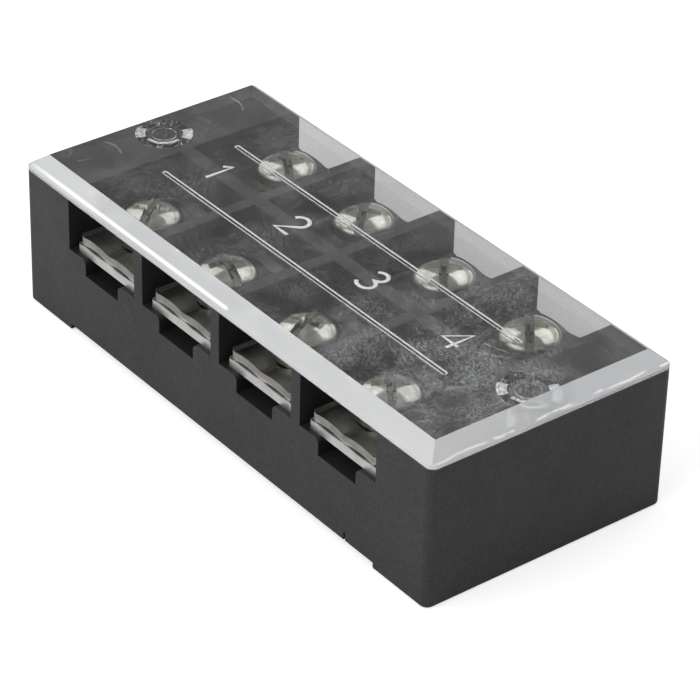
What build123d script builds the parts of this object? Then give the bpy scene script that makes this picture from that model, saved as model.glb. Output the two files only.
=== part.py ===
from build123d import *
import math
import os

# A barrier terminal strip with a clear clip-on cover. All sizes are in millimetres.
# The origin is under the middle of the base. X runs along the row of circuits,
# Y from the front terminals to the rear ones, and Z up from the mounting surface.

# Row of circuits
circuits = 4
pitch = 18.0
barrier_thickness = 1.9
end_margin = 10.0

# Base moulding
base_width = 40.4
base_height = 21.6
corner_radius = 1.2
rib_thickness = 2.2
channel_width = 8.0
channel_depth = 2.5
channel_lip_radius = 0.9
foot_height = 1.05
foot_edge_radius = 0.4
nick_width = 0.35
nick_height = 1.2
nick_from_end = 17.0

# Mounting holes, one through the middle of each end block of the base
mount_hole_diameter = 4.6
mount_land = 8.0

# Conductor bars, one for each circuit
bar_end_gap = 1.0
bar_thickness = 1.25
bar_setback = 0.85
bar_corner_radius = 0.4
bar_side_clearance = 0.15
bar_top_clearance = 0.1
collar_wall = 0.8
collar_length = 1.0

# Terminal screws
screw_inset = 8.5
thread_diameter = 4.9
thread_clearance = 0.05
thread_tip_chamfer = 0.5
shank_length = 8.0
head_diameter = 9.0
head_rim_height = 0.9
head_crown_height = 1.9
head_recess = 1.39
slot_width = 1.3
slot_depth = 1.5
cross_length = 5.2
cross_depth = 2.1
cross_taper = 12.0
pit_clearance = 0.35
pit_tip_clearance = 0.8

# Where each screw's slot points at rest, in degrees from X, with circuit 1 first
driver_angles = {"front": (128, 165, 110, 146), "rear": (152, 135, 140, 141)}

# Split lock washers under the heads
washer_ring_width = 1.75
washer_hole_clearance = 0.2
washer_thickness = 1.0
washer_split = 0.8
washer_split_lean = 0.35

# Clamping plates between the lock washers and the bars
plate_end_inset = 0.35
plate_front_inset = 0.3
plate_thickness = 1.2
plate_wave_height = 0.3
plate_middle_land = 0.8
plate_end_lip = 0.7
plate_end_lift = 0.3
plate_corner_radius = 0.3
plate_hole_clearance = 0.25

# Clear cover
cover_thickness = 2.5
cover_bevel_inset = 2.5
cover_bevel_drop = 2.0
peg_diameter = 8.2
peg_bore = 5.0
peg_length = 4.0
peg_slit = 0.8
peg_slit_angle = 135.0
peg_tip_chamfer = 0.4
peg_clearance = 0.2
pip_diameter = 3.5
pip_height = 0.3
line_offset = 6.3
line_width = 0.85
line_depth = 0.25
line_inset = 14.3

# Gaps between pieces that move apart
seat_gap = 0.03
cover_gap = 0.05

# Places that follow from the sizes above
base_length = circuits * pitch + 2 * end_margin
circuit_places = [(index - (circuits - 1) / 2) * pitch for index in range(circuits)]
well_length = pitch - barrier_thickness
well_depth = (base_width - rib_thickness) / 2
well_centre = (base_width + rib_thickness) / 4
end_block = end_margin + barrier_thickness / 2
mount_places = [(side * (base_length - end_block) / 2, 0) for side in (-1, 1)]
counterbore_diameter = peg_diameter + 2 * peg_clearance
head_height = head_rim_height + head_crown_height
clamp_height = plate_thickness + plate_wave_height + washer_thickness + head_height + 2 * seat_gap
bar_width = well_length - 2 * bar_end_gap
bar_length = base_width - 2 * bar_setback
bar_top = base_height - head_recess - clamp_height
sill_height = bar_top - bar_thickness
thread_hole = thread_diameter + 2 * thread_clearance
collar_diameter = thread_hole + 2 * collar_wall
washer_hole = thread_diameter + 2 * washer_hole_clearance
washer_outer_diameter = washer_hole + 2 * washer_ring_width
screw_places = {"front": screw_inset - base_width / 2, "rear": base_width / 2 - screw_inset}
plate_width = bar_width - 2 * plate_end_inset
plate_depth = 2 * (screw_inset - bar_setback - plate_front_inset)
plate_bottom = bar_top + seat_gap
washer_bottom = plate_bottom + plate_thickness + plate_wave_height
head_bottom = washer_bottom + washer_thickness + seat_gap
pit_bottom = head_bottom - shank_length - pit_tip_clearance
pit_diameter = collar_diameter + 2 * pit_clearance
cover_bottom = base_height + cover_gap


def build_base():
    """The black moulding: wells with barriers, a rib over the bars, feet and mounting holes."""
    with BuildPart() as base:
        with BuildSketch(Plane.XY):
            RectangleRounded(base_length, base_width, corner_radius)
        extrude(amount=base_height)

        # The underside is raised between two feet
        with BuildSketch(Plane.XY):
            Rectangle(base_length - 2 * end_block, base_width)
        extrude(amount=foot_height, mode=Mode.SUBTRACT)
        foot_edges = base.edges().filter_by(Axis.Y).group_by(Axis.Z)[0]
        fillet(foot_edges, foot_edge_radius)

        # One open well for each terminal leaves the barriers and the middle rib standing
        with BuildSketch(Plane.XY.offset(sill_height)):
            with Locations(*[(x, side * well_centre) for x in circuit_places for side in (-1, 1)]):
                Rectangle(well_length, well_depth)
        extrude(amount=base_height - sill_height, mode=Mode.SUBTRACT)

        # The rib bridges the bars through a slot at each circuit
        with BuildSketch(Plane.XY.offset(sill_height)):
            with Locations(*[(x, 0) for x in circuit_places]):
                Rectangle(bar_width + 2 * bar_side_clearance, rib_thickness)
        extrude(amount=bar_thickness + bar_top_clearance, mode=Mode.SUBTRACT)

        # A channel under each bar opens as a notch in both long faces
        with BuildSketch(Plane.XY.offset(sill_height - channel_depth)):
            with Locations(*[(x, 0) for x in circuit_places]):
                Rectangle(channel_width, base_width)
        extrude(amount=channel_depth, mode=Mode.SUBTRACT)
        sill_edges = base.edges().filter_by(Axis.Y).filter_by_position(Axis.Z, sill_height, sill_height)
        lips = [
            edge
            for edge in sill_edges
            for x in circuit_places
            if abs(abs(edge.center().X - x) - channel_width / 2) < channel_lip_radius / 10
        ]
        fillet(lips, channel_lip_radius)

        # Pits for the screw tips and the threaded collars of the bars
        with BuildSketch(Plane.XY.offset(pit_bottom)):
            with Locations(*[(x, y) for x in circuit_places for y in screw_places.values()]):
                Circle(pit_diameter / 2)
        extrude(amount=sill_height - pit_bottom, mode=Mode.SUBTRACT)

        # Mounting holes, counterbored for the screw head and the pegs of the cover
        with Locations(Plane.XY.offset(base_height)):
            with Locations(*mount_places):
                CounterBoreHole(
                    mount_hole_diameter / 2,
                    counterbore_diameter / 2,
                    base_height - mount_land,
                )

        # A small nick left by the mould at the foot of the front face
        with BuildSketch(Plane.XZ.offset(base_width / 2)):
            with Locations((base_length / 2 - nick_from_end, foot_height + nick_height / 2)):
                Rectangle(nick_width, nick_height)
        extrude(amount=-nick_width, mode=Mode.SUBTRACT)
    return base.part


def build_cover():
    """The clear plate with bevelled edges, two split pegs and two guide lines."""
    with BuildPart() as cover:
        with BuildSketch(Plane.XY.offset(cover_bottom)):
            Rectangle(base_length, base_width)
        extrude(amount=cover_thickness)
        top = cover.faces().sort_by(Axis.Z)[-1]
        chamfer(top.edges(), cover_bevel_inset, cover_bevel_drop, reference=top)

        # The upright corners are rounded like those of the base, and the bevels keep their crisp mitres
        with BuildSketch(Plane.XY.offset(cover_bottom)):
            RectangleRounded(base_length, base_width, corner_radius)
        extrude(amount=cover_thickness, mode=Mode.INTERSECT)

        # Split pegs that snap into the counterbores of the mounting holes
        with BuildSketch(Plane.XY.offset(cover_bottom)):
            with Locations(*mount_places):
                Circle(peg_diameter / 2)
                Circle(peg_bore / 2, mode=Mode.SUBTRACT)
        extrude(amount=-peg_length)
        rims = cover.edges().filter_by(GeomType.CIRCLE).group_by(Axis.Z)[0]
        outer_rims = [rim for rim in rims if rim.radius > peg_bore / 2]
        chamfer(outer_rims, peg_tip_chamfer)
        with BuildSketch(Plane.XY.offset(cover_bottom)):
            with Locations(*mount_places):
                Rectangle(peg_diameter, peg_slit, rotation=peg_slit_angle)
        extrude(amount=-peg_length, mode=Mode.SUBTRACT)
        with BuildSketch(Plane.XY.offset(cover_bottom)):
            with Locations(*mount_places):
                Circle(pip_diameter / 2)
        extrude(amount=-pip_height)

        # Two guide lines, sunk into the underside
        with BuildSketch(Plane.XY.offset(cover_bottom)):
            with Locations(*[(0, side * line_offset) for side in (-1, 1)]):
                SlotOverall(base_length - 2 * line_inset, line_width)
        extrude(amount=line_depth, mode=Mode.SUBTRACT)
    return cover.part


def build_bar(x):
    """A flat conductor bar with a threaded collar drawn down under each screw."""
    screw_spots = [(x, y) for y in screw_places.values()]
    with BuildPart() as bar:
        with BuildSketch(Plane.XY.offset(sill_height)):
            with Locations((x, 0)):
                RectangleRounded(bar_width, bar_length, bar_corner_radius)
        extrude(amount=bar_thickness)
        with BuildSketch(Plane.XY.offset(sill_height)):
            with Locations(*screw_spots):
                Circle(collar_diameter / 2)
        extrude(amount=-collar_length)
        with Locations(Plane.XY.offset(bar_top)):
            with Locations(*screw_spots):
                Hole(thread_hole / 2)
    return bar.part


def plate_wave(level):
    """One long edge of the plate's wavy section, drawn from left to right at a level."""
    edge = plate_width / 2
    foot = edge - plate_end_lip
    land = plate_middle_land / 2
    crest = (foot + land) / 2
    Line((-edge, level + plate_end_lift), (-foot, level))
    ThreePointArc((-foot, level), (-crest, level + plate_wave_height), (-land, level))
    Line((-land, level), (land, level))
    ThreePointArc((land, level), (crest, level + plate_wave_height), (foot, level))
    Line((foot, level), (edge, level + plate_end_lift))


def build_plate(x, y):
    """A pressed clamping plate: two shallow arches that grip the wires, and turned-up ends."""
    edge = plate_width / 2
    section = Plane(origin=(x, y, plate_bottom), x_dir=(1, 0, 0), z_dir=(0, -1, 0))
    with BuildPart() as plate:
        with BuildSketch(section):
            with BuildLine():
                plate_wave(0)
                plate_wave(plate_thickness)
                for side in (-edge, edge):
                    Line((side, plate_end_lift), (side, plate_end_lift + plate_thickness))
            make_face()
        extrude(amount=plate_depth / 2, both=True)
        fillet(plate.edges().filter_by(Axis.Z), plate_corner_radius)
        with Locations((x, y, plate_bottom)):
            Hole(thread_diameter / 2 + plate_hole_clearance)
    return plate.part


def build_washer(x, y, angle):
    """A flattened spring washer with its slanted split turned to an angle."""
    turned = Plane(origin=(x, y, washer_bottom), x_dir=(math.cos(angle), math.sin(angle), 0), z_dir=(0, 0, 1))
    across_split = Plane(origin=turned.origin, x_dir=turned.y_dir, z_dir=turned.x_dir)
    with BuildPart() as washer:
        with BuildSketch(turned):
            Circle(washer_outer_diameter / 2)
            Circle(washer_hole / 2, mode=Mode.SUBTRACT)
        extrude(amount=washer_thickness)
        with BuildSketch(across_split):
            Polygon(
                (-washer_split / 2 - washer_split_lean, 0),
                (washer_split / 2 - washer_split_lean, 0),
                (washer_split / 2 + washer_split_lean, washer_thickness),
                (-washer_split / 2 + washer_split_lean, washer_thickness),
                align=None,
            )
        extrude(amount=washer_outer_diameter, mode=Mode.SUBTRACT)
    return washer.part


def build_screw(x, y, angle):
    """A pan head screw with a slot right across the head and a cross recess in its middle."""
    turned = Plane(origin=(x, y, head_bottom), x_dir=(math.cos(angle), math.sin(angle), 0), z_dir=(0, 0, 1))
    section = Plane(origin=turned.origin, x_dir=turned.x_dir, z_dir=-turned.y_dir)
    shank = thread_diameter / 2
    rim = head_diameter / 2
    with BuildPart() as screw:
        with BuildSketch(section):
            with BuildLine():
                Polyline(
                    (0, head_height),
                    (0, -shank_length),
                    (shank - thread_tip_chamfer, -shank_length),
                    (shank, thread_tip_chamfer - shank_length),
                    (shank, 0),
                    (rim, 0),
                    (rim, head_rim_height),
                )
                EllipticalCenterArc((0, head_rim_height), rim, head_crown_height, start_angle=0, arc_size=90)
            make_face()
        revolve(axis=Axis(turned.origin, (0, 0, 1)))
        with BuildSketch(turned.offset(head_height)):
            Rectangle(head_diameter, slot_width)
        extrude(amount=-slot_depth, mode=Mode.SUBTRACT)
        with BuildSketch(turned.offset(head_height)):
            Rectangle(cross_length, slot_width)
            Rectangle(slot_width, cross_length)
        extrude(amount=-cross_depth, taper=cross_taper, mode=Mode.SUBTRACT)
    return screw.part


def save(piece, name):
    """Label a finished piece and write it to its own file."""
    piece.label = name
    export_step(piece, f"parts/{name}.step")


os.makedirs("parts", exist_ok=True)
save(build_base(), "base")
save(build_cover(), "cover")
for number, x in enumerate(circuit_places, start=1):
    save(build_bar(x), f"conductor_bar_{number}")
    for side, y in screw_places.items():
        angle = math.radians(driver_angles[side][(number - 1) % len(driver_angles[side])])
        save(build_plate(x, y), f"clamp_plate_{side}_{number}")
        save(build_washer(x, y, angle), f"lock_washer_{side}_{number}")
        save(build_screw(x, y, angle), f"terminal_screw_{side}_{number}")
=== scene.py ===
import math

import bpy
from mathutils import Matrix, Vector


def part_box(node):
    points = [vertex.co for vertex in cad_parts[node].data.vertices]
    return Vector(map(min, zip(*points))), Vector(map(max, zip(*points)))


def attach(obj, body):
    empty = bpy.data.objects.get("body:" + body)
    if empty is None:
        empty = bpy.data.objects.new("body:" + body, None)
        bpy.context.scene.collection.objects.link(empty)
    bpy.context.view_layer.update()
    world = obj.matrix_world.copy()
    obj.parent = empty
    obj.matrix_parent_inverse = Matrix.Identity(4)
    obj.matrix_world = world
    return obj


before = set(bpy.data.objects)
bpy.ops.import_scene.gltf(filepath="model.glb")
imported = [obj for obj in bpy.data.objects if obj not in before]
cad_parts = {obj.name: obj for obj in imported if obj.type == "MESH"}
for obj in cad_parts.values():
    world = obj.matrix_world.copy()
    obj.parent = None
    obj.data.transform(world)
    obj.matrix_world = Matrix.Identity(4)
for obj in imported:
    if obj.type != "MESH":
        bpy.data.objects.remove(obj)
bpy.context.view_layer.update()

# Sizes in metres, read from the parts in model.glb where they have them
MM = 0.001
CIRCUITS = 4
bar_boxes = [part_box(f"conductor_bar_{number}") for number in range(1, CIRCUITS + 1)]
CIRCUIT_PLACES = [(bar_low.x + bar_high.x) / 2 for bar_low, bar_high in bar_boxes]
PITCH = (CIRCUIT_PLACES[-1] - CIRCUIT_PLACES[0]) / (CIRCUITS - 1)
base_low, base_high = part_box("base")
LENGTH = base_high.x - base_low.x
WIDTH = base_high.y - base_low.y
BASE_TOP = base_high.z
HEAD_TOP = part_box("terminal_screw_front_1")[1].z
COVER_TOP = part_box("cover")[1].z
COVER_THICKNESS = 2.5 * MM
COVER_UNDERSIDE = COVER_TOP - COVER_THICKNESS
COVER_BEVEL = 2.5 * MM

# The camera of the photograph, turned about the middle of the footprint
VIEW_AZIMUTH = 51.5
VIEW_ELEVATION = 33.18
VIEW_ROLL = 1.61
VIEW_DISTANCE = 465.4 * MM
VIEW_RIGHT = 2.5 * MM
VIEW_UP = 6.32 * MM
FOCAL_PIXELS = 3336.4
IMAGE_PIXELS = 700
SENSOR = 36.0


def make_camera():
    """The photograph's camera, which looks down at the near right corner."""
    azimuth, elevation, roll = (math.radians(turn) for turn in (VIEW_AZIMUTH, VIEW_ELEVATION, VIEW_ROLL))
    back = Vector((
        math.sin(azimuth) * math.cos(elevation),
        -math.cos(azimuth) * math.cos(elevation),
        math.sin(elevation),
    ))
    level = Vector((math.cos(azimuth), math.sin(azimuth), 0))
    upright = back.cross(level)
    right = math.cos(roll) * level + math.sin(roll) * upright
    up = math.cos(roll) * upright - math.sin(roll) * level
    data = bpy.data.cameras.new("photo_camera")
    data.sensor_width = SENSOR
    data.lens = FOCAL_PIXELS / IMAGE_PIXELS * SENSOR
    camera = bpy.data.objects.new("photo_camera", data)
    place = Matrix.Translation(right * VIEW_RIGHT + up * VIEW_UP + back * VIEW_DISTANCE)
    camera.matrix_world = place @ Matrix((right, up, back)).transposed().to_4x4()
    bpy.context.scene.collection.objects.link(camera)
    bpy.context.scene.camera = camera


# Node helpers

WHITE = (1, 1, 1, 1)
# Most of a noise pattern lies between these two values
NOISE_LOW = 0.35
NOISE_HIGH = 0.65


def new_material(name):
    """An empty node material and its tree."""
    material = bpy.data.materials.new(name)
    material.use_nodes = True
    material.node_tree.nodes.clear()
    return material, material.node_tree


def finish_material(tree, shader):
    """Link a shader node to the material's surface."""
    add(tree, "ShaderNodeOutputMaterial", Surface=shader.outputs[0])


def add(tree, kind, settings=None, **inputs):
    """A node with its settings and its input values, or links where a value is a socket."""
    made = tree.nodes.new(kind)
    for name, value in (settings or {}).items():
        setattr(made, name, value)
    for name, value in inputs.items():
        give(tree, made.inputs[name.replace("_", " ")], value)
    return made


def give(tree, socket, value):
    """Set an input to a value, or link it where the value is a socket."""
    if isinstance(value, bpy.types.NodeSocket):
        tree.links.new(value, socket)
    else:
        socket.default_value = value


def calc(tree, operation, *values):
    """The result of one sum on numbers or sockets."""
    made = add(tree, "ShaderNodeMath", {"operation": operation})
    for socket, value in zip(made.inputs, values):
        give(tree, socket, value)
    return made.outputs[0]


def axes_of(tree, kind="Object"):
    """The X, Y and Z of a place in the piece, or of another kind of coordinate."""
    coordinate = add(tree, "ShaderNodeTexCoord").outputs[kind]
    return add(tree, "ShaderNodeSeparateXYZ", Vector=coordinate).outputs


def beyond(tree, place, half):
    """How far a place on an axis is past half a length from the middle, below 0 inside it."""
    return calc(tree, "SUBTRACT", calc(tree, "ABSOLUTE", place), half)


def distance_to(tree, point):
    """How far a place in the piece is from a point."""
    made = add(tree, "ShaderNodeVectorMath", {"operation": "DISTANCE"})
    give(tree, made.inputs[0], add(tree, "ShaderNodeTexCoord").outputs["Object"])
    give(tree, made.inputs[1], point)
    return made.outputs["Value"]


def noise(tree, scale, detail, stretch=(1, 1, 1), turn=0.0, rough=0.5, seed=0.0):
    """A noise pattern fixed to the piece, from 0 to 1. Scale is in features for each metre."""
    place = add(tree, "ShaderNodeTexCoord").outputs["Object"]
    turned = add(tree, "ShaderNodeMapping", Vector=place, Rotation=(0, 0, math.radians(turn)))
    moved = add(
        tree,
        "ShaderNodeMapping",
        Vector=turned.outputs[0],
        Scale=stretch,
        Location=(seed, seed, seed),
    )
    made = add(
        tree,
        "ShaderNodeTexNoise",
        Vector=moved.outputs[0],
        Scale=scale,
        Detail=detail,
        Roughness=rough,
    )
    return made.outputs["Fac"]


def ramp(tree, value, low, high, start=NOISE_LOW, end=NOISE_HIGH):
    """Low to high while a value goes from start to end, and level beyond them."""
    made = add(tree, "ShaderNodeMapRange", Value=value)
    made.inputs["From Min"].default_value = start
    made.inputs["From Max"].default_value = end
    made.inputs["To Min"].default_value = low
    made.inputs["To Max"].default_value = high
    return made.outputs["Result"]


def soft_line(tree, across, place, width, peak):
    """A line at a place on an axis: its peak within a quarter of the width, and 0 past the width."""
    away = calc(tree, "ABSOLUTE", calc(tree, "SUBTRACT", across, place))
    return ramp(tree, away, peak, 0, start=width / 4, end=width)


def bumped(tree, height, strength, distance):
    """A normal that follows a height pattern."""
    return add(tree, "ShaderNodeBump", Height=height, Strength=strength, Distance=distance).outputs[0]


def blend_colours(tree, share, first, second):
    """A colour between two others, each a colour or a socket, by a share from 0 to 1."""
    made = add(tree, "ShaderNodeMix", {"data_type": "RGBA"}, Factor=share)
    colours = [socket for socket in made.inputs if socket.type == "RGBA"]
    for socket, colour in zip(colours, (first, second)):
        give(tree, socket, (*colour, 1) if isinstance(colour, tuple) else colour)
    return next(socket for socket in made.outputs if socket.type == "RGBA")


def blend_shaders(tree, share, first, second):
    """A shader between two shader nodes by a share from 0 to 1."""
    made = add(tree, "ShaderNodeMixShader", Fac=share)
    tree.links.new(first.outputs[0], made.inputs[1])
    tree.links.new(second.outputs[0], made.inputs[2])
    return made


# Black moulding of the base

SKIN_DEPTH = 0.1 * MM
CORNER_REACH = 1.3 * MM
# Painted shade: the wells get a blacker, less glossy colour than the outside faces, and the top a share of
# the outside's colour
TOP_OUTSIDE_SHARE = 0.5
WELL_SHADE_BLACK = (0.016, 0.016, 0.0165)
OUTSIDE_DARK = (0.025, 0.025, 0.0255)
OUTSIDE_LIGHT = (0.041, 0.041, 0.0415)
WELL_SHADE_GLOSS = 0.2
OUTSIDE_GLOSS = 0.5
BLACK_SMOOTH = 0.42
BLACK_ROUGH = 0.55
GRAIN_STRENGTH = 0.2
GRAIN_DEPTH = 0.03 * MM


def outer_skin_share(tree):
    """1 on the moulding's outside faces and rounded corners, less on its top and 0 in its wells, where
    shade is painted.
    """
    axes = axes_of(tree)
    past_end = beyond(tree, axes["X"], LENGTH / 2)
    past_side = beyond(tree, axes["Y"], WIDTH / 2)
    face = calc(tree, "GREATER_THAN", calc(tree, "MAXIMUM", past_end, past_side), -SKIN_DEPTH)
    corner = calc(tree, "GREATER_THAN", calc(tree, "MINIMUM", past_end, past_side), -CORNER_REACH)
    top = calc(tree, "GREATER_THAN", axes["Z"], BASE_TOP - SKIN_DEPTH)
    around = calc(tree, "MAXIMUM", face, corner)
    return calc(tree, "MAXIMUM", around, calc(tree, "MULTIPLY", top, TOP_OUTSIDE_SHARE))


def moulded_black():
    """Matt black thermoset with a fine sparkle of grain, with painted shade making its wells blacker and
    less glossy than its outside, and its top between them.
    """
    material, tree = new_material("moulded_black")
    grain = noise(tree, scale=2600, detail=3)
    clouds = noise(tree, scale=90, detail=4)
    # The skin share lays the painted shade: blacker and less glossy in the wells
    skin = outer_skin_share(tree)
    outside_black = blend_colours(tree, ramp(tree, grain, 0, 1), OUTSIDE_DARK, OUTSIDE_LIGHT)
    surface = add(
        tree,
        "ShaderNodeBsdfPrincipled",
        Base_Color=blend_colours(tree, skin, WELL_SHADE_BLACK, outside_black),
        Roughness=ramp(tree, clouds, BLACK_SMOOTH, BLACK_ROUGH),
        Specular_IOR_Level=ramp(tree, skin, WELL_SHADE_GLOSS, OUTSIDE_GLOSS, start=0, end=1),
        Normal=bumped(tree, grain, GRAIN_STRENGTH, GRAIN_DEPTH),
    )
    finish_material(tree, surface)
    return material


# Plated metals of the bars, plates, washers and screws

UPRIGHT_LIMIT = 0.5
PLATE_FLAT = 6.0 * MM
# Share of bright plating on a plate's flat top; the rest is painted shade
PLATE_TOP_BRIGHT = 0.25
# Painted shade on the screws is full this far below the heads' top and gone this far below it
HEAD_SHADE_LOW = 1.65 * MM
HEAD_SHADE_HIGH = 0.7 * MM
# Extra roughness where the dim colour is laid on
DIM_ROUGH = 0.3
SCUFF_STRENGTH = 0.12
SCUFF_DEPTH = 0.02 * MM


def upright_share(tree):
    """1 on upright faces and 0 on level ones."""
    upward = axes_of(tree, "Normal")["Z"]
    return calc(tree, "LESS_THAN", calc(tree, "ABSOLUTE", upward), UPRIGHT_LIMIT)


def cut_edge_share(tree):
    """1 on a plate's upright cut edges, little on its top and 0 on the lips at its ends, the rest being
    painted shade.
    """
    from_first = calc(tree, "SUBTRACT", axes_of(tree)["X"], CIRCUIT_PLACES[0])
    from_middle = calc(tree, "WRAP", from_first, PITCH / 2, -PITCH / 2)
    flat = calc(tree, "LESS_THAN", calc(tree, "ABSOLUTE", from_middle), PLATE_FLAT)
    return calc(tree, "MAXIMUM", upright_share(tree), calc(tree, "MULTIPLY", flat, PLATE_TOP_BRIGHT))


def head_bright_share(tree):
    """1 on the crowns of the screws, falling to 0 in their slots and low on their rims, where shade is
    painted.
    """
    low = HEAD_TOP - HEAD_SHADE_LOW
    high = HEAD_TOP - HEAD_SHADE_HIGH
    return ramp(tree, axes_of(tree)["Z"], 0, 1, start=low, end=high)


def plated_metal(name, dark, light, smooth, rough, seed=0.0, bright_share=None, dim=None):
    """Plated metal with a mottled tint and fine scuffs, darker and rougher where its bright share is low,
    which on the plates and screws is painted shade.
    """
    material, tree = new_material(name)
    patches = noise(tree, scale=420, detail=3, seed=seed)
    scuffs = noise(tree, scale=3500, detail=2, stretch=(1, 0.2, 1), seed=seed)
    tint = blend_colours(tree, ramp(tree, patches, 0, 1), dark, light)
    roughness = ramp(tree, patches, smooth, rough)
    # The dim colour is painted shade on the plates and screws
    if bright_share:
        bright = bright_share(tree)
        tint = blend_colours(tree, bright, dim, tint)
        roughness = calc(tree, "ADD", roughness, ramp(tree, bright, DIM_ROUGH, 0, start=0, end=1))
    surface = add(
        tree,
        "ShaderNodeBsdfPrincipled",
        Base_Color=tint,
        Metallic=1.0,
        Roughness=roughness,
        Normal=bumped(tree, scuffs, SCUFF_STRENGTH, SCUFF_DEPTH),
    )
    finish_material(tree, surface)
    return material


def tinned_brass():
    """Bright tin on the conductor bars."""
    return plated_metal(
        "tinned_brass",
        dark=(0.84, 0.84, 0.83),
        light=(0.95, 0.95, 0.94),
        smooth=0.36,
        rough=0.46,
    )


def dull_plate():
    """Plating on the clamping plates, bright on their cut edges, with painted shade darkening their tops
    and end lips.
    """
    return plated_metal(
        "dull_plate",
        dark=(0.36, 0.35, 0.31),
        light=(0.52, 0.505, 0.46),
        smooth=0.12,
        rough=0.24,
        seed=3.0,
        # Painted shade darkens the plates' tops and end lips
        bright_share=cut_edge_share,
        dim=(0.05, 0.05, 0.043),
    )


def spring_steel():
    """Spring steel of the lock washers, darker on their level faces and bright round their upright edges.
    """
    return plated_metal(
        "spring_steel",
        dark=(0.34, 0.34, 0.29),
        light=(0.48, 0.48, 0.42),
        smooth=0.12,
        rough=0.24,
        seed=5.0,
        bright_share=upright_share,
        dim=(0.1, 0.1, 0.08),
    )


def plated_screw():
    """Yellowish plating of the screws, bright on their crowns, with painted shade in their slots and low
    on their rims.
    """
    return plated_metal(
        "plated_screw",
        dark=(0.44, 0.45, 0.38),
        light=(0.72, 0.73, 0.65),
        smooth=0.07,
        rough=0.18,
        seed=7.0,
        # Painted shade darkens the slots and the rims of the heads
        bright_share=head_bright_share,
        dim=(0.13, 0.13, 0.1),
    )


# Haze on the cover's top, thickest round one worn spot and thin where the top stayed clean

HAZE_STRENGTH = 0.26
WORN_SPOT = (33 * MM, -4 * MM, COVER_TOP)
WORN_NEAR = 8 * MM
WORN_FAR = 26 * MM
WORN_FAR_SHARE = 0.38
SMEAR_LEAST = 0.05
GRAIN_LEAST = 0.1
HAIR_MOST = 0.55
# Turn and seed of each set of hairlines
HAIR_SETS = [(20, 4.0), (-55, 6.0), (-20, 9.0)]
CLEAN_LEAST = 0.1
CLEAN_RAGGED = 8 * MM
# Places along and across the cover and reach of the spots that stayed clean
CLEAN_SPOTS = [
    (40.4 * MM, 9.7 * MM, 5.0 * MM),
    (-39.5 * MM, -11.8 * MM, 4.5 * MM),
    (-38.4 * MM, 9.8 * MM, 4.5 * MM),
    (21.8 * MM, -4.8 * MM, 4.0 * MM),
    (40.7 * MM, -12.3 * MM, 3.5 * MM),
]


def smears_and_hairlines(tree):
    """Grainy smears and three sets of hairlines, from 0 to 1, most of them round the worn spot."""
    wear_and_painted_glint = ramp(tree, distance_to(tree, WORN_SPOT), 1, WORN_FAR_SHARE, start=WORN_NEAR, end=WORN_FAR)
    smears = noise(tree, scale=170, detail=9, stretch=(1, 0.7, 1), rough=0.66)
    grain = noise(tree, scale=3500, detail=2, stretch=(0.7, 1, 1), turn=35, seed=2.0)
    smeared = ramp(tree, smears, SMEAR_LEAST, 1, start=0.43, end=0.62)
    grainy = ramp(tree, grain, GRAIN_LEAST, 1, start=0.41, end=0.61)
    haze = calc(tree, "MULTIPLY", calc(tree, "MULTIPLY", smeared, grainy), wear_and_painted_glint)
    for turn, seed in HAIR_SETS:
        streaks = noise(tree, scale=3200, detail=2, stretch=(0.03, 1, 1), turn=turn, seed=seed)
        hairs = ramp(tree, streaks, 0, HAIR_MOST, start=0.67, end=0.76)
        haze = calc(tree, "MAXIMUM", haze, calc(tree, "MULTIPLY", hairs, wear_and_painted_glint))
    return haze


def cover_wear(tree):
    """How hazy the cover's top is, from 0 to 1, with its ragged clean spots."""
    haze = smears_and_hairlines(tree)
    uneven = calc(tree, "SUBTRACT", noise(tree, scale=420, detail=6, rough=0.75, seed=8.0), 0.5)
    ragged = calc(tree, "MULTIPLY", uneven, CLEAN_RAGGED)
    for x, y, reach in CLEAN_SPOTS:
        away = calc(tree, "ADD", distance_to(tree, (x, y, COVER_TOP)), ragged)
        left = ramp(tree, away, CLEAN_LEAST, 1, start=reach / 2, end=reach)
        haze = calc(tree, "MULTIPLY", haze, left)
    return haze


# Bevels of the cover, and the painted highlights low on two of them

EDGE_BAND_START = 0.1 * MM
# Each painted highlight's place is past the bevel's inner edge
FRONT_GLINT_PLACE = 1.93 * MM
FRONT_GLINT_WIDTH = 0.28 * MM
FRONT_GLINT_PEAK = 0.85
FRONT_GLINT_LEAST = 0.2
# Where along the cover the front line starts, is full, fades and ends
FRONT_GLINT_START = -45 * MM
FRONT_GLINT_FULL = -37 * MM
FRONT_GLINT_FADE = 1.6 * MM
FRONT_GLINT_END = 2.4 * MM
END_GLINT_PLACE = 2.1 * MM
END_GLINT_WIDTH = 0.18 * MM
END_GLINT_PEAK = 0.9
END_GLINT_WANDER = 0.3 * MM


def cover_edge_band(tree):
    """1 on the bevels and rim of the cover and 0 on its flat middle and its underside."""
    axes = axes_of(tree)
    past_end = beyond(tree, axes["X"], LENGTH / 2 - COVER_BEVEL)
    past_side = beyond(tree, axes["Y"], WIDTH / 2 - COVER_BEVEL)
    outside = calc(tree, "GREATER_THAN", calc(tree, "MAXIMUM", past_end, past_side), 0.0)
    above = calc(tree, "GREATER_THAN", axes["Z"], COVER_UNDERSIDE + EDGE_BAND_START)
    return calc(tree, "MULTIPLY", outside, above)


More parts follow.
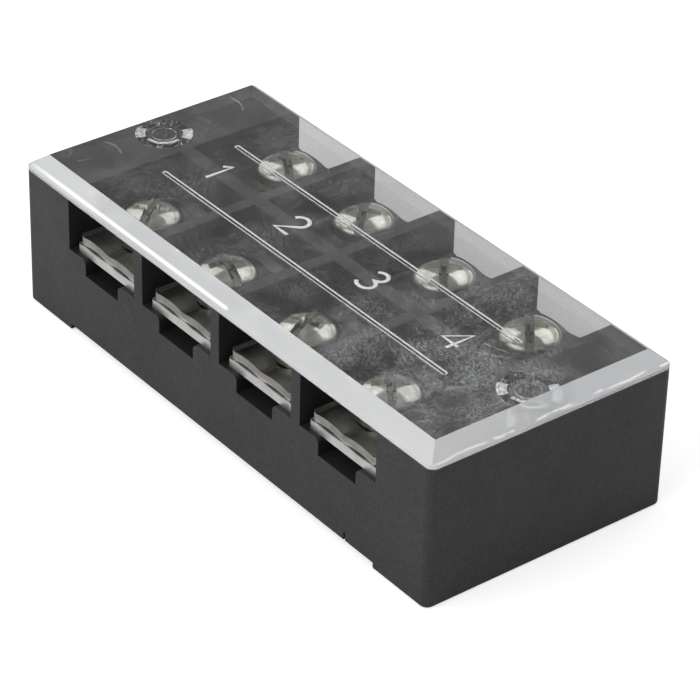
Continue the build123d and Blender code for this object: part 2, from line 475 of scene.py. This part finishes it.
def front_glint(tree, axes):
    """The straight painted highlight low on the front bevel, which fades in from the left and ends midway.
    """
    down_bevel = calc(tree, "SUBTRACT", calc(tree, "MULTIPLY", axes["Y"], -1.0), WIDTH / 2 - COVER_BEVEL)
    line = soft_line(tree, down_bevel, FRONT_GLINT_PLACE, FRONT_GLINT_WIDTH, FRONT_GLINT_PEAK)
    begun = ramp(tree, axes["X"], FRONT_GLINT_LEAST, 1, start=FRONT_GLINT_START, end=FRONT_GLINT_FULL)
    going = ramp(tree, axes["X"], 1, 0, start=FRONT_GLINT_FADE, end=FRONT_GLINT_END)
    return calc(tree, "MULTIPLY", line, calc(tree, "MULTIPLY", begun, going))


def end_glint(tree, axes):
    """The wandering painted highlight low on the right bevel, which breaks off in places."""
    down_bevel = calc(tree, "SUBTRACT", axes["X"], LENGTH / 2 - COVER_BEVEL)
    waves = noise(tree, scale=90, detail=4, seed=2.6)
    wander = ramp(tree, waves, -END_GLINT_WANDER, END_GLINT_WANDER, start=0.3, end=0.7)
    place = calc(tree, "ADD", wander, END_GLINT_PLACE)
    line = soft_line(tree, down_bevel, place, END_GLINT_WIDTH, END_GLINT_PEAK)
    unbroken = ramp(tree, noise(tree, scale=160, detail=3, seed=1.3), 0, 1, start=0.46, end=0.52)
    return calc(tree, "MULTIPLY", line, unbroken)


def bevel_glints(tree):
    """How strong the painted highlights on the bevels are, from 0 to 1."""
    axes = axes_of(tree)
    return calc(tree, "MAXIMUM", front_glint(tree, axes), end_glint(tree, axes))


# Clear plastic of the cover, and the white look of what is cut into it

CLEAR_TINT = (0.97, 0.975, 0.98, 1)
CLEAR_IOR = 1.5
TOP_ROUGH = 0.012
BEVEL_ROUGH = 0.2
# Share of matt white on the bevels: painted light in place of the light piped through them
BEVEL_PIPED_LIGHT = 0.6
GLINT_ROUGH = 0.4
COVER_EDGE_RADIUS = 0.15 * MM
EDGE_SAMPLES = 4
LIGHT_THROUGH_TOP = (0.84, 0.845, 0.85)
LIGHT_THROUGH_BEVEL = (0.3, 0.3, 0.3)
# The bevels' painted light goes from grey to pale, brighter towards the near right corner, as PALE_SLANT
# times X, less Y, goes from one place to the other
PALE_SLANT = 0.3
PALE_START = 4 * MM
PALE_END = 34 * MM
PIPED_GREY = (0.7, 0.71, 0.725)
PIPED_PALE = (0.95, 0.955, 0.96)
CUT_WHITE = (0.94, 0.94, 0.95, 1)


def piped_light(tree):
    """Matt white on the bevels as painted light in place of light piped through the clear plastic, paler
    towards the near right corner as painted light.
    """
    axes = axes_of(tree)
    nearness = calc(tree, "SUBTRACT", calc(tree, "MULTIPLY", axes["X"], PALE_SLANT), axes["Y"])
    pale = ramp(tree, nearness, 0, 1, start=PALE_START, end=PALE_END)
    return add(tree, "ShaderNodeBsdfDiffuse", Color=blend_colours(tree, pale, PIPED_GREY, PIPED_PALE))


def clear_plastic():
    """Clear polycarbonate, hazy and scuffed on top, with painted light on its bevels and painted
    highlights low on two of them, that lets lamps through.
    """
    material, tree = new_material("clear_plastic")
    band = cover_edge_band(tree)
    softened = add(tree, "ShaderNodeBevel", {"samples": EDGE_SAMPLES}, Radius=COVER_EDGE_RADIUS)
    glass = add(
        tree,
        "ShaderNodeBsdfPrincipled",
        Base_Color=CLEAR_TINT,
        Roughness=ramp(tree, band, TOP_ROUGH, BEVEL_ROUGH, start=0, end=1),
        IOR=CLEAR_IOR,
        Transmission_Weight=1.0,
        Normal=softened.outputs[0],
    )
    veil = calc(tree, "MULTIPLY", cover_wear(tree), HAZE_STRENGTH)
    haze_and_piped_light = calc(tree, "MAXIMUM", veil, calc(tree, "MULTIPLY", band, BEVEL_PIPED_LIGHT))
    # The veil on the top is haze; the bevels' matt white is painted light
    cloudy = blend_shaders(tree, haze_and_piped_light, glass, piped_light(tree))
    # A glossy white line low on the front and right bevels is a painted highlight
    wear_and_painted_glint = add(tree, "ShaderNodeBsdfGlossy", Color=WHITE, Roughness=GLINT_ROUGH)
    lined = blend_shaders(tree, calc(tree, "MULTIPLY", bevel_glints(tree), band), cloudy, wear_and_painted_glint)
    lamp_ray = add(tree, "ShaderNodeLightPath").outputs["Is Shadow Ray"]
    let_through = blend_colours(tree, band, LIGHT_THROUGH_TOP, LIGHT_THROUGH_BEVEL)
    open_way = add(tree, "ShaderNodeBsdfTransparent", Color=let_through)
    finish_material(tree, blend_shaders(tree, lamp_ray, lined, open_way))
    return material


def frosted_white(name, thin, dense):
    """The bright frosted look of a line cut into clear plastic, from its thinnest to its densest share,
    also used as painted highlight on the pegs.
    """
    material, tree = new_material(name)
    grit = noise(tree, scale=1800, detail=3, rough=0.7)
    clear = add(tree, "ShaderNodeBsdfTransparent", Color=WHITE)
    white = add(tree, "ShaderNodeBsdfDiffuse", Color=CUT_WHITE)
    finish_material(tree, blend_shaders(tree, ramp(tree, grit, thin, dense), clear, white))
    return material


# Marks in the cover, and painted highlights on the pegs, drawn as thin strokes

MARK_LEVEL = COVER_UNDERSIDE + 0.13 * MM
MARK_THICKNESS = 0.18 * MM
SECTION_POINTS = 10
ARC_STEPS = 14
NUMERAL_HEIGHT = 4.7 * MM
NUMERAL_WIDTH = 3.2 * MM
NUMERAL_STROKE = 0.6 * MM
NUMERAL_PITCH = 17.65 * MM
GUIDE_OFFSET = 6.3 * MM
GUIDE_WIDTH = 0.85 * MM
GUIDE_INSET = 14.3 * MM
GUIDE_EDGE = 0.2 * MM
PEG_FROM_MIDDLE = 40.525 * MM
BARB_RADIUS = 3.45 * MM
BARB_WIDTH = 1.5 * MM
BARB_TURN = 51.4
BARB_SPREAD = 22
RIM_RADIUS = 2.8 * MM
RIM_WIDTH = 0.6 * MM
RIM_TURN = BARB_TURN - 90
RIM_SPREAD = 50
SCRATCH_LEVEL = COVER_TOP - 0.12 * MM
SCRATCH_WIDTH = 0.28 * MM
# Points of the long scratches along and across the cover, in millimetres
SCRATCH_LINES = [
    [(-42.2, 13.1), (-40.6, 13.2), (-39.3, 12.9), (-38.2, 12.3)],
    [(-42.0, -9.2), (-40.6, -8.7), (-39.3, -8.7), (-38.1, -9.1)],
    [(-39.8, -15.4), (-39.2, -13.7)],
    [(29.8, 1.2), (33.6, 2.4)],
    [(31.0, -1.0), (34.6, 1.6)],
    [(35.4, -9.6), (37.6, -4.4)],
]


def arc(x, y, half_width, half_height, start, end):
    """Points along part of an ellipse about a place, in degrees anticlockwise."""
    turns = [math.radians(start + (end - start) * step / ARC_STEPS) for step in range(ARC_STEPS + 1)]
    return [(x + half_width * math.cos(turn), y + half_height * math.sin(turn)) for turn in turns]


# Pen strokes of the circuit numerals in a box one unit high that stands on the line
NUMERAL_BOX_WIDTH = 0.64
NUMERAL_STROKES = {
    1: [[(0.14, 0.78), (0.34, 1.0), (0.34, 0.0)]],
    2: [arc(0.31, 0.72, 0.28, 0.28, 170, -35) + [(0.03, 0.0), (0.62, 0.0)]],
    3: [arc(0.30, 0.76, 0.25, 0.24, 150, -90)[:-1] + arc(0.30, 0.26, 0.30, 0.26, 90, -150)],
    4: [[(0.48, 0.0), (0.48, 1.0), (0.0, 0.28), (0.64, 0.28)]],
}


def make_stroke_tree():
    """Geometry nodes that sweep an oval section along flat paths and lift the strokes to a level."""
    tree = bpy.data.node_groups.new("cover_strokes", "GeometryNodeTree")
    tree.interface.new_socket("Paths", in_out="INPUT", socket_type="NodeSocketGeometry")
    for name in ("Width", "Thickness", "Level"):
        tree.interface.new_socket(name, in_out="INPUT", socket_type="NodeSocketFloat")
    tree.interface.new_socket("Finish", in_out="INPUT", socket_type="NodeSocketMaterial")
    tree.interface.new_socket("Strokes", in_out="OUTPUT", socket_type="NodeSocketGeometry")
    given = add(tree, "NodeGroupInput").outputs
    radius = calc(tree, "DIVIDE", given["Width"], 2)
    section = add(tree, "GeometryNodeCurvePrimitiveCircle", Resolution=SECTION_POINTS, Radius=radius)
    swept = add(
        tree,
        "GeometryNodeCurveToMesh",
        Curve=given["Paths"],
        Profile_Curve=section.outputs[0],
        Fill_Caps=True,
    )
    flatness = calc(tree, "DIVIDE", given["Thickness"], given["Width"])
    strokes = add(
        tree,
        "GeometryNodeTransform",
        Geometry=swept.outputs[0],
        Translation=add(tree, "ShaderNodeCombineXYZ", Z=given["Level"]).outputs[0],
        Scale=add(tree, "ShaderNodeCombineXYZ", X=1, Y=1, Z=flatness).outputs[0],
    )
    smooth = add(tree, "GeometryNodeSetShadeSmooth", Geometry=strokes.outputs[0])
    whole = add(tree, "GeometryNodeRealizeInstances", Geometry=smooth.outputs[0])
    finished = add(tree, "GeometryNodeSetMaterial", Geometry=whole.outputs[0], Material=given["Finish"])
    add(tree, "NodeGroupOutput", Strokes=finished.outputs[0])
    return tree


STROKE_TREE = make_stroke_tree()


def flat_paths(name, paths, closed):
    """An object that holds flat paths, each a list of points."""
    data = bpy.data.curves.new(name, "CURVE")
    data.dimensions = "3D"
    for path in paths:
        spline = data.splines.new("POLY")
        spline.use_cyclic_u = closed
        spline.points.add(len(path) - 1)
        for point, (x, y) in zip(spline.points, path):
            point.co = (x, y, 0, 1)
    drawn = bpy.data.objects.new(name, data)
    bpy.context.scene.collection.objects.link(drawn)
    return drawn


def flat_strokes(name, paths, width, material, closed=False, level=MARK_LEVEL):
    """Thin strokes along flat paths as a solid piece inside the cover, at a level."""
    drawn = flat_paths(name, paths, closed)
    modifier = drawn.modifiers.new("strokes", "NODES")
    modifier.node_group = STROKE_TREE
    given = {"Width": width, "Thickness": MARK_THICKNESS, "Level": level, "Finish": material}
    for socket_name, value in given.items():
        modifier[STROKE_TREE.interface.items_tree[socket_name].identifier] = value
    evaluated = drawn.evaluated_get(bpy.context.evaluated_depsgraph_get())
    mesh = bpy.data.meshes.new_from_object(evaluated)
    bpy.data.objects.remove(drawn)
    mesh.name = name
    piece = bpy.data.objects.new(name, mesh)
    bpy.context.scene.collection.objects.link(piece)
    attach(piece, "cover_body")


def make_numerals(material):
    """The circuit numbers 1 to 4, cut into the cover over the middle rib."""
    unit_width = NUMERAL_WIDTH / NUMERAL_BOX_WIDTH
    for number in range(1, CIRCUITS + 1):
        left = CIRCUIT_PLACES[0] + (number - 1) * NUMERAL_PITCH - NUMERAL_WIDTH / 2
        paths = [
            [(left + x * unit_width, (y - 0.5) * NUMERAL_HEIGHT) for x, y in stroke]
            for stroke in NUMERAL_STROKES[number]
        ]
        flat_strokes(f"circuit_numeral_{number}", paths, NUMERAL_STROKE, material)


def make_guide_lines(material):
    """The bright edges of the two long grooves that frame the circuit numbers."""
    radius = (GUIDE_WIDTH - GUIDE_EDGE) / 2
    reach = LENGTH / 2 - GUIDE_INSET - GUIDE_WIDTH / 2
    for side, y in (("front", -GUIDE_OFFSET), ("rear", GUIDE_OFFSET)):
        outline = arc(reach, y, radius, radius, -90, 90) + arc(-reach, y, radius, radius, 90, 270)
        flat_strokes(f"guide_line_{side}", [outline], GUIDE_EDGE, material, closed=True)


def make_peg_barbs(material):
    """Painted highlights on the outer sides of the two split pegs, where their barbs catch the light, and
    on their near rims.
    """
    for side, x in (("left", -PEG_FROM_MIDDLE), ("right", PEG_FROM_MIDDLE)):
        barbs = [
            arc(x, 0, BARB_RADIUS, BARB_RADIUS, turn - BARB_SPREAD, turn + BARB_SPREAD)
            for turn in (BARB_TURN, BARB_TURN + 180)
        ]
        flat_strokes(f"peg_barbs_{side}", barbs, BARB_WIDTH, material)
        rim = arc(x, 0, RIM_RADIUS, RIM_RADIUS, RIM_TURN - RIM_SPREAD, RIM_TURN + RIM_SPREAD)
        flat_strokes(f"peg_rim_{side}", [rim], RIM_WIDTH, material)


def make_scratches(material):
    """The few long scratches in the cover's top."""
    lines = [[(x * MM, y * MM) for x, y in line] for line in SCRATCH_LINES]
    flat_strokes("cover_scratches", lines, SCRATCH_WIDTH, material, level=SCRATCH_LEVEL)


# Floor, world and lamps

FLOOR_SIZE = 3.0
FLOOR_GREY = (0.69, 0.69, 0.69, 1)
FLOOR_LIFT = 0.6
BACKDROP = 1.0
SURROUND = 0.29
# Name, place, width in metres and power in watts of each lamp
LAMPS = [
    ("left_soft_box", (-0.84, -0.2, 0.7), 1.0, 3.8),
    ("rear_soft_box", (0.02, 0.86, 0.66), 1.0, 3.8),
    ("front_key", (0.02, -0.74, 0.52), 0.7, 4.1),
    ("right_fill", (0.8, -0.3, 0.5), 0.6, 0.65),
]


def make_floor():
    """A plain floor that the camera sees white outside the object's shadow."""
    mesh = bpy.data.meshes.new("floor")
    half = FLOOR_SIZE / 2
    corners = [(-half, -half, 0), (half, -half, 0), (half, half, 0), (-half, half, 0)]
    mesh.from_pydata(corners, [], [(0, 1, 2, 3)])
    floor = bpy.data.objects.new("floor", mesh)
    bpy.context.scene.collection.objects.link(floor)
    material, tree = new_material("floor_white")
    matt = add(tree, "ShaderNodeBsdfDiffuse", Color=FLOOR_GREY)
    seen = add(tree, "ShaderNodeLightPath").outputs["Is Camera Ray"]
    lift = calc(tree, "MULTIPLY", seen, FLOOR_LIFT)
    glow = add(tree, "ShaderNodeEmission", Color=WHITE, Strength=lift)
    both = add(tree, "ShaderNodeAddShader")
    tree.links.new(matt.outputs[0], both.inputs[0])
    tree.links.new(glow.outputs[0], both.inputs[1])
    finish_material(tree, both)
    mesh.materials.append(material)


def make_world():
    """A soft even surround, which the camera sees as plain white."""
    world = bpy.data.worlds.new("studio")
    bpy.context.scene.world = world
    world.use_nodes = True
    tree = world.node_tree
    tree.nodes.clear()
    seen = add(tree, "ShaderNodeLightPath").outputs["Is Camera Ray"]
    strength = ramp(tree, seen, SURROUND, BACKDROP, start=0, end=1)
    glow = add(tree, "ShaderNodeBackground", Color=WHITE, Strength=strength)
    add(tree, "ShaderNodeOutputWorld", Surface=glow.outputs[0])


def make_lamp(name, place, size, power):
    """A large soft lamp aimed at the object."""
    data = bpy.data.lights.new(name, "AREA")
    data.size = size
    data.energy = power
    lamp = bpy.data.objects.new(name, data)
    lamp.location = place
    lamp.rotation_mode = "QUATERNION"
    lamp.rotation_quaternion = (-Vector(place)).to_track_quat("-Z", "Y")
    bpy.context.scene.collection.objects.link(lamp)


def dress_nodes():
    """Give every solid of the model its own finish."""
    finishes = {
        "base": moulded_black(),
        "cover": clear_plastic(),
        "conductor_bar": tinned_brass(),
        "clamp_plate": dull_plate(),
        "lock_washer": spring_steel(),
        "terminal_screw": plated_screw(),
    }
    for name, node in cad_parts.items():
        kind = next(kind for kind in finishes if name.startswith(kind))
        node.data.materials.clear()
        node.data.materials.append(finishes[kind])


make_camera()
dress_nodes()
cut_white = frosted_white("cut_white", thin=0.85, dense=1.0)
# The pegs' barbs and near rims are painted highlights
painted_highlight_white = frosted_white("painted_highlight_white", thin=0.1, dense=0.85)
scratch_white = frosted_white("scratch_white", thin=0, dense=0.15)
make_numerals(cut_white)
make_guide_lines(cut_white)
make_peg_barbs(painted_highlight_white)
make_scratches(scratch_white)
make_floor()
make_world()
for lamp in LAMPS:
    make_lamp(*lamp)

scene = bpy.context.scene
scene.view_settings.view_transform = "Standard"
scene.cycles.max_bounces = 40
scene.cycles.glossy_bounces = 32
scene.cycles.transmission_bounces = 32
